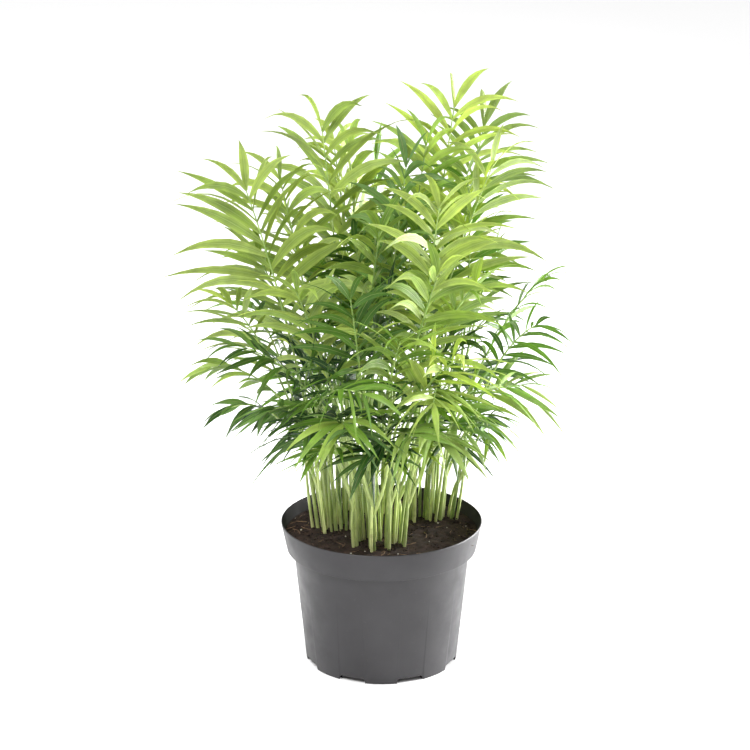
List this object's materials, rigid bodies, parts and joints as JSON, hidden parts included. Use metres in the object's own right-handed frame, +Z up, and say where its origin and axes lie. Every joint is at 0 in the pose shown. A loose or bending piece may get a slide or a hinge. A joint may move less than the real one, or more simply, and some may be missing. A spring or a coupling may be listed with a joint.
{
  "type": "potted palm",
  "caption": "Bushy parlour palm with feathery arching fronds on slim upright stems, planted in soil in a round plastic nursery pot.",
  "frame": {"origin": "centre of the pot's underside, on the surface it stands on", "axes": "+Z up along the pot's axis, -Y towards the front seen in the picture, +X to that view's right"},
  "size_m": [0.3715, 0.334, 0.5689],
  "materials": {
    "pot_plastic": "satin grey moulded plastic",
    "potting_soil": "damp crumbly soil",
    "palm_leaf": "smooth living leaf"
  },
  "bodies": {
    "root": {"pot": "pot_plastic", "soil": "potting_soil", "palm_01": "palm_leaf", "palm_02": "palm_leaf", "palm_03": "palm_leaf", "palm_04": "palm_leaf", "palm_05": "palm_leaf", "palm_06": "palm_leaf", "palm_07": "palm_leaf", "palm_08": "palm_leaf", "palm_09": "palm_leaf", "palm_10": "palm_leaf", "palm_11": "palm_leaf", "palm_12": "palm_leaf", "palm_13": "palm_leaf", "palm_14": "palm_leaf", "palm_15": "palm_leaf", "palm_16": "palm_leaf", "palm_17": "palm_leaf", "palm_18": "palm_leaf", "palm_19": "palm_leaf", "palm_20": "palm_leaf", "palm_21": "palm_leaf", "palm_22": "palm_leaf", "palm_23": "palm_leaf", "palm_24": "palm_leaf", "palm_25": "palm_leaf", "palm_26": "palm_leaf", "palm_27": "palm_leaf", "palm_28": "palm_leaf", "palm_29": "palm_leaf", "palm_30": "palm_leaf", "palm_31": "palm_leaf", "palm_32": "palm_leaf", "palm_33": "palm_leaf", "palm_34": "palm_leaf"}
  },
  "joints": []
}
